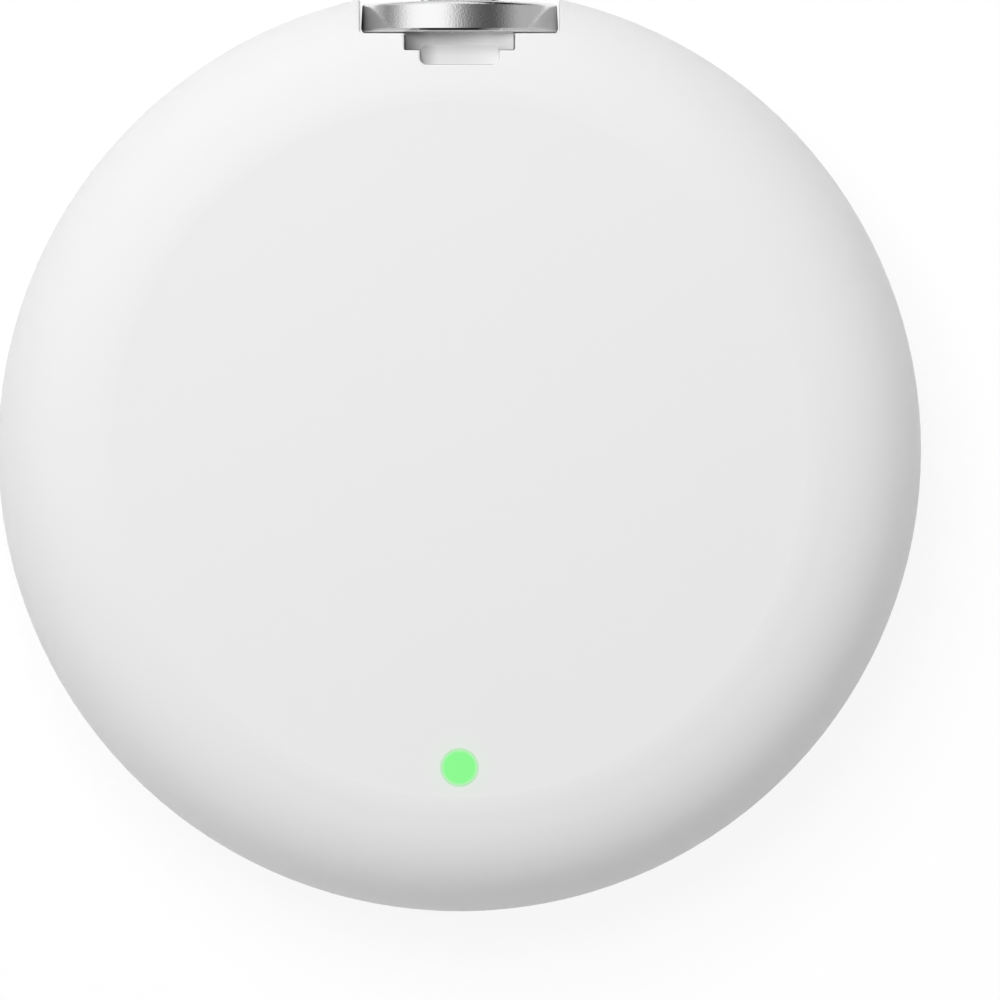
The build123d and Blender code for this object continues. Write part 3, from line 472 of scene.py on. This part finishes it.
def strapKeyMetal(look):
    material, tree, bsdf = newMaterial("strapKeyMetal")
    xyz = partXyz(tree)
    polished = ramp(tree, xyz["Y"], *look["polishedFrom"], 0.0, 1.0)

    def bossOrFlange(boss, flange):
        return ramp(tree, polished, 0, 1, boss, flange, smooth=False)

    metallic = bossOrFlange(look["satinMetallic"], look["edgeMetallic"])
    tree.links.new(ramp(tree, xyz["Y"], *look["edgeTop"], metallic, 1.0), bsdf.inputs["Metallic"])
    # painted shade: the boss darker at its sides, the flange darker at its two ends
    bossShade = product(tree, ramp(tree, xyz["X"], *look["bossLeftShade"], smooth=False),
                        ramp(tree, xyz["X"], *look["bossRightShade"]))
    shade = product(tree, ramp(tree, xyz["X"], *look["leftEndShade"]), ramp(tree, xyz["X"], *look["rightEndShade"]),
                    math2(tree, "MAXIMUM", bossShade, polished))
    color = blendColors(tree, polished, rgb(look["bossColor"]), rgb(look["color"]))
    tree.links.new(blendColors(tree, shade, black, color), bsdf.inputs["Base Color"])
    speckle = noise(tree, look["speckle"], roughness=0.6)
    smoother = ramp(tree, xyz["Y"], *look["speckleFrom"], look["roughBelow"], 1.0)
    rough = product(tree, bossOrFlange(look["satinRoughness"], look["polishedRoughness"]),
                    bossOrFlange(1.0, smoother),
                    vary(tree, speckle, 1 - look["roughSpread"], 1 + look["roughSpread"]))
    tree.links.new(rough, bsdf.inputs["Roughness"])
    height = product(tree, speckle, ramp(tree, xyz["Y"], *look["speckleFrom"], look["speckleBelow"], 1.0))
    tree.links.new(bump(tree, height, look["speckleDepth"], look["speckleStrength"]), bsdf.inputs["Normal"])
    return material


keyShape = {  # the flange, the boss and the eye, as in the CAD but with many more faces
    "middleZ": 8.0 * mm,
    "flangeLowY": keyLow.y + 1.13 * mm, "flangeTopY": keyLow.y + 3.19 * mm,
    "halfWidth": 6.40 * mm, "endCut": 0.36 * mm, "halfDepth": 5.7 * mm, "taper": 0.2 / 3.9,
    "cornerRound": 0.42 * mm,
    "lowRound": 0.18 * mm, "lowSlopeDegrees": 73, "lowSlope": 0.135 * mm, "lowSoftRound": 0.10 * mm,
    "topRound": 0.25 * mm, "crownRadius": 110 * mm,
    "bossHalf": 3.55 * mm, "bossHalfDepth": 4.2 * mm, "bossHollow": 17 * mm, "bossRound": 0.08 * mm,
    "bossInFlange": 0.5 * mm, "cutPast": 0.2 * mm,  # how far joined and cut pieces reach past a face
    "tenon": (4.8 * mm, 0.9 * mm, 3.2 * mm),
    "magnetX": 4.7 * mm, "magnetRadius": 1.11 * mm, "magnetLength": 1.31 * mm,
    "eyeY": keyLow.y + 7.08 * mm, "eyeHole": 2.2 * mm, "eyeBand": 1.4 * mm, "eyeHalfDepth": 1.2 * mm,
    "eyeRound": 0.5 * mm, "eyeFootHalf": 2.6 * mm, "eyeFootY": keyLow.y + 2.5 * mm,
}


def flangeOutline(shape, steps=170):
    # an oval cut off at both ends, with its upright corners rounded
    half, depth, radius = shape["halfWidth"], shape["halfDepth"], shape["cornerRound"]
    width = half + shape["endCut"]

    def onOval(turn):
        x, z = width * math.sin(turn), depth * math.cos(turn)
        normal = Vector((x / width ** 2, z / depth ** 2)).normalized()
        return x, z, normal.x, normal.y

    low, high = 0.0, math.pi / 2
    for _ in range(50):  # halves the range until the rounding meets the oval there
        middle = (low + high) / 2
        x, z, nx, nz = onOval(middle)
        low, high = (middle, high) if x - radius * nx < half - radius else (low, middle)
    quarter = [onOval(turn) for turn in spread(0, low, steps=steps)]
    x, z, nx, nz = quarter[-1]
    for turn in spread(math.atan2(nx, nz), math.pi / 2, steps=12)[1:]:
        quarter.append((half - radius + radius * math.sin(turn), z - radius * nz + radius * math.cos(turn),
                        math.sin(turn), math.cos(turn)))
    quarter.append((half, 0.0, 1.0, 0.0))
    return mirrorQuarter(quarter)


def bossOutline(shape, steps=40):
    # a block with rounded corners, slightly hollow in front and behind
    half, depth, radius = shape["bossHalf"], shape["bossHalfDepth"], shape["bossRound"]
    hollow = shape["bossHollow"]
    centre = depth + math.sqrt(hollow ** 2 - half ** 2)
    lean = math.asin((half - radius) / hollow)
    reach = half - radius - radius * math.sin(lean)
    quarter = [(x, centre - math.sqrt(hollow ** 2 - x ** 2), -x / hollow, 1.0)
               for x in spread(0, reach, steps=steps)]
    cornerZ = quarter[-1][1] - radius * math.cos(lean)
    for turn in spread(-lean, math.pi / 2, steps=8)[1:]:
        quarter.append((half - radius + radius * math.sin(turn), cornerZ + radius * math.cos(turn),
                        math.sin(turn), math.cos(turn)))
    quarter.append((half, 0.0, 1.0, 0.0))
    return mirrorQuarter(quarter)


def lowEdgeProfile(shape, slant):
    # from the underside outwards and up: a rounding, a narrow slope and a softer rounding
    radius, slope, soft = shape["lowRound"], shape["lowSlope"], shape["lowSoftRound"]
    steep = math.radians(shape["lowSlopeDegrees"])
    points = [(radius * math.sin(turn), radius * (1 - math.cos(turn)))
              for turn in spread(0, steep, steps=14)]
    x, y = points[-1]
    for along in spread(0, slope, steps=2)[1:]:
        points.append((x + along * math.cos(steep), y + along * math.sin(steep)))
    x, y = points[-1]
    for turn in spread(steep, math.pi / 2 + slant, steps=5)[1:]:
        points.append((x + soft * (math.sin(turn) - math.sin(steep)),
                       y + soft * (math.cos(steep) - math.cos(turn))))
    reach, y = points[-1]
    firm = 0.01 * mm  # a last short step up keeps the rounding's edge crisp
    points.append((reach - firm * shape["taper"], y + firm))
    return [(x - reach, shape["flangeLowY"] + y) for x, y in points]


def makeFlange(shape):
    outline = flangeOutline(shape)
    middleZ, topRound = shape["middleZ"], shape["topRound"]
    slant = math.atan(shape["taper"])
    lowEdge = lowEdgeProfile(shape, slant)
    sideLow = lowEdge[-1][1]

    def topY(x):
        return shape["flangeTopY"] - x * x / (2 * shape["crownRadius"])

    def ring(place):
        # the outline moved inwards, at a height that may follow the domed top
        moved = [(x, z, nx, nz, *place(x)) for x, z, nx, nz in outline]
        return [(x - nx * inward, y, middleZ + z - nz * inward) for x, z, nx, nz, inward, y in moved]

    def onSide(x, share):
        y = sideLow + share * (topY(x) - topRound - sideLow)
        return shape["taper"] * (y - sideLow), y

    def onTopRound(x, turn):
        inward, y = onSide(x, 1.0)
        return inward + topRound * (1 - math.cos(turn)), y + topRound * math.sin(turn)

    rings = [ring(lambda x: (-outward, y)) for outward, y in lowEdge]
    rings += [ring(lambda x: onSide(x, share)) for share in (0.25, 0.5, 0.75, 0.98)]
    rings += [ring(lambda x: onTopRound(x, turn)) for turn in spread(slant, math.pi / 2, steps=12)]
    rim = rings[-1]
    for share in (0.97, 0.85, 0.7, 0.5, 0.3, 0.12):  # over the domed top
        rings.append([(x * share, topY(x * share), middleZ + (z - middleZ) * share) for x, y, z in rim])
    return stackRings("flange", rings)


def makeBoss(shape):
    outline = bossOutline(shape)
    return stackRings("boss", [[(x, y, shape["middleZ"] + z) for x, z, _, _ in outline]
                               for y in (keyLow.y, shape["flangeLowY"] + shape["bossInFlange"])])


def makeEye(shape):
    # a flat loop on a short foot, its rims rounded by the curve's own bevel
    rounding, eyeY = shape["eyeRound"], shape["eyeY"]
    curve = bpy.data.curves.new("eye", "CURVE")
    curve.dimensions = "2D"
    curve.fill_mode = "BOTH"
    curve.bevel_depth = rounding
    curve.bevel_resolution = 6
    curve.extrude = shape["eyeHalfDepth"] - rounding
    outer = shape["eyeHole"] + shape["eyeBand"] - rounding
    inner = shape["eyeHole"] + rounding
    footHalf, footY = shape["eyeFootHalf"] - rounding, shape["eyeFootY"] + rounding
    start = math.asin(footHalf / outer)
    loop = [(outer * math.sin(turn), eyeY - outer * math.cos(turn))
            for turn in spread(start, 2 * math.pi - start, steps=120)]
    hole = [(inner * math.cos(turn), eyeY - inner * math.sin(turn))
            for turn in spread(0, 2 * math.pi, steps=96)[:-1]]
    for points in ([(footHalf, footY)] + loop + [(-footHalf, footY)], hole):
        spline = curve.splines.new("POLY")
        spline.points.add(len(points) - 1)
        for point, (x, y) in zip(spline.points, points):
            point.co = (x, y, 0, 1)
        spline.use_cyclic_u = True
    bent = bpy.data.objects.new("eyeCurve", curve)
    mesh = bpy.data.meshes.new_from_object(bent)
    bpy.data.objects.remove(bent)
    mesh.transform(Matrix.Translation((0, 0, shape["middleZ"])))
    maker = bmesh.new()
    maker.from_mesh(mesh)
    bmesh.ops.remove_doubles(maker, verts=maker.verts[:], dist=0.001 * mm)
    bmesh.ops.recalc_face_normals(maker, faces=maker.faces[:])
    maker.to_mesh(mesh)
    maker.free()
    piece = bpy.data.objects.new("eye", mesh)
    scene.collection.objects.link(piece)
    return piece


def makeTenonRoom(shape):
    # the hollow in the boss that the plug's tenon fills
    width, height, depth = shape["tenon"]
    corners = [(sx * width / 2, sz * depth / 2) for sx, sz in ((1, 1), (1, -1), (-1, -1), (-1, 1))]
    return stackRings("tenonRoom", [[(x, y, shape["middleZ"] + z) for x, z in corners]
                                    for y in (keyLow.y - shape["cutPast"], keyLow.y + height)])


def makeMagnetRoom(shape):
    # the blind hole in the flange's underside that the magnet sits in
    radius, lowY = shape["magnetRadius"], shape["flangeLowY"]
    circle = [(shape["magnetX"] + radius * math.cos(turn), radius * math.sin(turn))
              for turn in spread(0, 2 * math.pi, steps=48)[:-1]]
    return stackRings("magnetRoom", [[(x, y, shape["middleZ"] + z) for x, z in circle]
                                     for y in (lowY - shape["cutPast"], lowY + shape["magnetLength"])])


strapKey = joinPieces("strapKey", makeFlange(keyShape), [
    (makeBoss(keyShape), "UNION"), (makeEye(keyShape), "UNION"),
    (makeTenonRoom(keyShape), "DIFFERENCE"), (makeMagnetRoom(keyShape), "DIFFERENCE")])
takeOver(strapKey, "strap_key", "strap_key", strapKeyMetal(strapKeyLook))


# the release tab: the pad in its pocket, and the stem, shoulders and wedge behind it
tabShape = {
    "corner": 0.4 * mm, "padHalf": 2.55 * mm, "padDepth": 0.45 * mm, "stemTopY": tabLow.y + 0.83 * mm,
    "profile": [  # the wedge's tip, the shoulders and the stem: half width, height above the tip
        (2.45 * mm, 0), (3.4 * mm, 1.0 * mm), (3.4 * mm, 1.5 * mm), (2.15 * mm, 1.5 * mm),
        (2.15 * mm, 2.75 * mm)],
}


def makeReleaseTab(shape):
    middle, halfHeight = (tabLow.y + tabHigh.y) / 2, (tabHigh.y - tabLow.y) / 2
    half, radius = shape["padHalf"], shape["corner"]
    quarter = [(0.0, halfHeight, 0, 1)]
    for turn in spread(0, math.pi / 2, steps=12):
        quarter.append((half - radius + radius * math.sin(turn),
                        halfHeight - radius + radius * math.cos(turn), 0, 0))
    quarter.append((half, 0.0, 1, 0))
    outline = mirrorQuarter(quarter)
    pad = stackRings("pad", [[(x, middle + y, z) for x, y, _, _ in outline]
                             for z in (tabHigh.z - shape["padDepth"], tabHigh.z)])
    side = [(width, tabLow.z + rise) for width, rise in shape["profile"]]
    section = side + [(-width, z) for width, z in reversed(side)]
    stem = stackRings("stem", [[(x, y, z) for x, z in section] for y in (tabLow.y, shape["stemTopY"])])
    return joinPieces("releaseTab", pad, [(stem, "UNION")])


releaseTab = makeReleaseTab(tabShape)
takeOver(releaseTab, "release_tab", "release_tab", nodes["release_tab"].data.materials[0])


# circuit boards: solder mask with tracks running under it
boardLook = {"mask": (0.012, 0.10, 0.035), "track": (0.02, 0.16, 0.055), "trackPitch": 0.5 * mm,
             "trackLength": 5.0, "trackEdge": 0.08, "trackOffset": 0.37,  # in track pitches
             "trackDepth": 0.02 * mm, "trackStrength": 0.6,
             "roughness": 0.3, "roughSpread": 0.05, "blotch": 0.3 * mm}


def solderMask(look):
    material, tree, bsdf = newMaterial("solderMask")
    place = addNode(tree, "ShaderNodeTexCoord").outputs["Object"]
    mapping = addNode(tree, "ShaderNodeMapping")
    mapping.inputs["Scale"].default_value = [1 / look["trackPitch"]] * 3
    tree.links.new(place, mapping.inputs["Vector"])
    tracks = addNode(tree, "ShaderNodeTexBrick")
    tracks.offset = look["trackOffset"]
    tracks.inputs["Scale"].default_value = 1.0
    tracks.inputs["Mortar Size"].default_value = look["trackEdge"]
    tracks.inputs["Brick Width"].default_value = look["trackLength"]
    tracks.inputs["Row Height"].default_value = 1.0
    tree.links.new(mapping.outputs["Vector"], tracks.inputs["Vector"])
    color = blendColors(tree, tracks.outputs["Fac"], rgb(look["mask"]), rgb(look["track"]))
    tree.links.new(color, bsdf.inputs["Base Color"])
    tree.links.new(roughAround(tree, noise(tree, look["blotch"]), look), bsdf.inputs["Roughness"])
    ridges = bump(tree, tracks.outputs["Fac"], look["trackDepth"], look["trackStrength"])
    tree.links.new(ridges, bsdf.inputs["Normal"])
    return material


boardGreen = solderMask(boardLook)
for boardName in ("main_board", "cellular_module", "battery_circuit"):
    dress(boardName, boardGreen)


# the flex antenna: copper meander on amber film
flexLook = {"film": (0.42, 0.18, 0.03), "copper": (0.62, 0.30, 0.14), "pitch": 1.1 * mm,
            "edge": 0.1, "roughness": (0.25, 0.40), "blotch": 0.2 * mm}


def flexCopper(look):
    material, tree, bsdf = newMaterial("flexCopper")
    wave = math2(tree, "SINE", product(tree, partXyz(tree)["Z"], 2 * math.pi / look["pitch"]))
    copper = ramp(tree, wave, -look["edge"], look["edge"], 0.0, 1.0)
    color = blendColors(tree, copper, rgb(look["film"]), rgb(look["copper"]))
    tree.links.new(color, bsdf.inputs["Base Color"])
    tree.links.new(copper, bsdf.inputs["Metallic"])
    tree.links.new(vary(tree, noise(tree, look["blotch"]), *look["roughness"]), bsdf.inputs["Roughness"])
    return material


dress("cellular_antenna", flexCopper(flexLook))
print("boards and flex antenna done")


# a sheet of pale paper under the tracker
floorLook = {
    "size": 8.0,
    "down": 0.02 * mm,  # under the tracker's flat back
    "color": (0.97, 0.97, 0.97), "blotch": 40 * mm, "toneSpread": 0.01,
    "roughness": 0.9, "specular": 0.1,
    "whiteShare": 0.88,
    "mirrored": 0.5, "mirroredFrom": (50 * mm, 80 * mm),
    "window": 22 * mm,  # radius of the clear disc under the tracker, which lights its back
}


def studioFloor(look):
    mesh = bpy.data.meshes.new("studioFloor")
    half = look["size"] / 2
    corners = [(x * half, y * half, -look["down"]) for x, y in ((-1, -1), (1, -1), (1, 1), (-1, 1))]
    mesh.from_pydata(corners, [], [(0, 1, 2, 3)])
    floor = bpy.data.objects.new("studioFloor", mesh)
    scene.collection.objects.link(floor)
    material, tree, bsdf = newMaterial("studioPaper")
    darker = [c * (1 - look["toneSpread"]) for c in look["color"]]
    color = blendColors(tree, noise(tree, look["blotch"], detail=3), rgb(look["color"]), rgb(darker))
    tree.links.new(color, bsdf.inputs["Base Color"])
    bsdf.inputs["Roughness"].default_value = look["roughness"]
    bsdf.inputs["Specular IOR Level"].default_value = look["specular"]
    # seen straight by the camera or through glass, the paper is white and keeps a shadow
    backdrop = addNode(tree, "ShaderNodeEmission")
    backdrop.inputs["Color"].default_value = white
    rays = addNode(tree, "ShaderNodeLightPath")
    seen = math2(tree, "MAXIMUM", rays.outputs["Is Camera Ray"], rays.outputs["Is Transmission Ray"])
    paper = mixShaders(tree, product(tree, seen, look["whiteShare"]), bsdf, backdrop)
    # polished metal mirrors a greyer floor some way off, as if cards stood round the tracker
    card = addNode(tree, "ShaderNodeEmission")
    card.inputs["Color"].default_value = rgb([look["mirrored"]] * 3)
    away = distanceFrom(tree, (0, 0, 0))
    farOff = ramp(tree, away, *look["mirroredFrom"], 0.0, 1.0)
    mirrored = mixShaders(tree, product(tree, rays.outputs["Is Glossy Ray"], farOff), paper, card)
    # clear from underneath and right under the tracker, so that its back can be looked at
    window = math2(tree, "LESS_THAN", away, look["window"])
    fromBelow = addNode(tree, "ShaderNodeNewGeometry").outputs["Backfacing"]
    clear = addNode(tree, "ShaderNodeBsdfTransparent")
    whole = mixShaders(tree, math2(tree, "MAXIMUM", window, fromBelow), mirrored, clear)
    tree.links.new(whole.outputs[0], tree.nodes["Material Output"].inputs["Surface"])
    mesh.materials.append(material)


studioFloor(floorLook)
print("floor done")

# the studio round the tracker: what lights it evenly, and what its metal mirrors
worldLook = {
    "fill": 0.315,
    "horizon": 0.21,  # how much brighter it is low down
    "mirrorBands": [  # degrees round from overhead towards +X, and how bright it is there
        (-130, 0.10), (-120, 0.36), (-92, 0.50), (-80, 0.28), (-68, 0.45), (-52, 1.0), (-42, 1.12),
        (-16, 1.12), (-7, 0.85), (0, 0.46), (9, 0.22), (18, 0.12), (33, 0.09), (44, 0.22), (60, 0.48),
        (80, 0.48), (108, 0.58), (118, 0.40), (127, 0.12),
    ],
    "nearBands": [  # the same, low towards the camera's side of the flange
        (-90, 0.50), (-60, 0.55), (-54, 0.47), (-47, 0.32), (-41, 0.126), (-35, 0.04), (-29, 0.02),
        (18, 0.02), (23, 0.09), (28, 0.17), (35, 0.29), (41, 0.33), (47, 0.41), (60, 0.68), (90, 0.72),
    ],
    "nearStart": (0.08, 0.22),  # how far round towards that side they fade in
    "farBands": [  # the same, up beyond the strap key
        (-120, 0.50), (-75, 0.75), (-35, 0.95), (16, 0.95), (23, 0.75), (29, 0.40), (34, 0.10), (38, 0.02),
        (70, 0.02), (78, 0.14), (86, 0.40), (105, 0.55), (125, 0.60),
    ],
    "farStart": (0.20, 0.44),
}


def bandLevels(tree, around, bands):
    levels = addNode(tree, "ShaderNodeValToRGB")
    stops = levels.color_ramp.elements
    while len(stops) < len(bands):
        stops.new(0.5)  # each gets its place below
    for stop, (degrees, level) in zip(stops, bands):
        stop.position = degrees / 360 + 0.5
        stop.color = rgb([level] * 3)
    tree.links.new(around, levels.inputs["Fac"])
    return levels.outputs["Color"]


def studioWorld(look):
    world = bpy.data.worlds.new("studioWorld")
    world.use_nodes = True
    tree = world.node_tree
    tree.nodes.clear()
    split = addNode(tree, "ShaderNodeSeparateXYZ")
    tree.links.new(addNode(tree, "ShaderNodeTexCoord").outputs["Generated"], split.inputs[0])
    x, y, z = split.outputs
    around = ramp(tree, math2(tree, "ARCTAN2", x, z), -math.pi, math.pi, 0.0, 1.0, smooth=False)
    isNear = ramp(tree, product(tree, y, -1.0), *look["nearStart"], 0.0, 1.0)
    isFar = ramp(tree, y, *look["farStart"], 0.0, 1.0)
    bands = blendColors(tree, isNear, bandLevels(tree, around, look["mirrorBands"]),
                        bandLevels(tree, around, look["nearBands"]))
    bands = blendColors(tree, isFar, bands, bandLevels(tree, around, look["farBands"]))
    mirrored = addNode(tree, "ShaderNodeBackground")
    tree.links.new(bands, mirrored.inputs["Color"])
    fill = addNode(tree, "ShaderNodeBackground")
    fill.inputs["Color"].default_value = white
    low = math2(tree, "SUBTRACT", 1.0, z, clamp=True)
    tree.links.new(math2(tree, "ADD", product(tree, low, low, look["horizon"]), look["fill"]),
                   fill.inputs["Strength"])
    backdrop = addNode(tree, "ShaderNodeBackground")
    backdrop.inputs["Color"].default_value = white
    rays = addNode(tree, "ShaderNodeLightPath")
    seen = math2(tree, "MAXIMUM", rays.outputs["Is Camera Ray"], rays.outputs["Is Transmission Ray"])
    lit = mixShaders(tree, rays.outputs["Is Glossy Ray"], fill, mirrored)
    output = addNode(tree, "ShaderNodeOutputWorld")
    tree.links.new(mixShaders(tree, seen, lit, backdrop).outputs[0], output.inputs["Surface"])
    scene.world = world


studioWorld(worldLook)

keyLamp = {  # a square softbox: degrees from overhead and round from +X, metres away and wide
    "tilt": 25, "round": 120, "away": 0.8, "size": 0.45, "watts": 5.2,
}


def studioLamp(name, look):
    data = bpy.data.lights.new(name, "AREA")
    data.shape = "SQUARE"
    data.size = look["size"]
    data.energy = look["watts"]
    softbox = bpy.data.objects.new(name, data)
    tilt, around = math.radians(look["tilt"]), math.radians(look["round"])
    direction = Vector((math.sin(tilt) * math.cos(around), math.sin(tilt) * math.sin(around),
                        math.cos(tilt)))
    softbox.location = Vector((0, 0, caseMiddleZ)) + look["away"] * direction
    softbox.rotation_euler = (-direction).to_track_quat("-Z", "Y").to_euler()
    softbox.visible_glossy = False
    scene.collection.objects.link(softbox)


studioLamp("keyLamp", keyLamp)

cameraLook = {
    "width": 65.01 * mm,  # what the picture's width takes in at the seam's height
    "centre": (2.626 * mm, -3.264 * mm),
    "away": 3000 * mm,
    "sensor": 36.0,
    "clip": (0.05, 20),
}


def studioCamera(look):
    data = bpy.data.cameras.new("camera")
    data.sensor_width = look["sensor"]
    data.lens = look["sensor"] * look["away"] / look["width"]
    data.clip_start, data.clip_end = look["clip"]
    camera = bpy.data.objects.new("camera", data)
    camera.location = (*look["centre"], caseMiddleZ + look["away"])
    scene.collection.objects.link(camera)
    scene.camera = camera


studioCamera(cameraLook)
scene.view_settings.view_transform = "Standard"
print("studio ready")
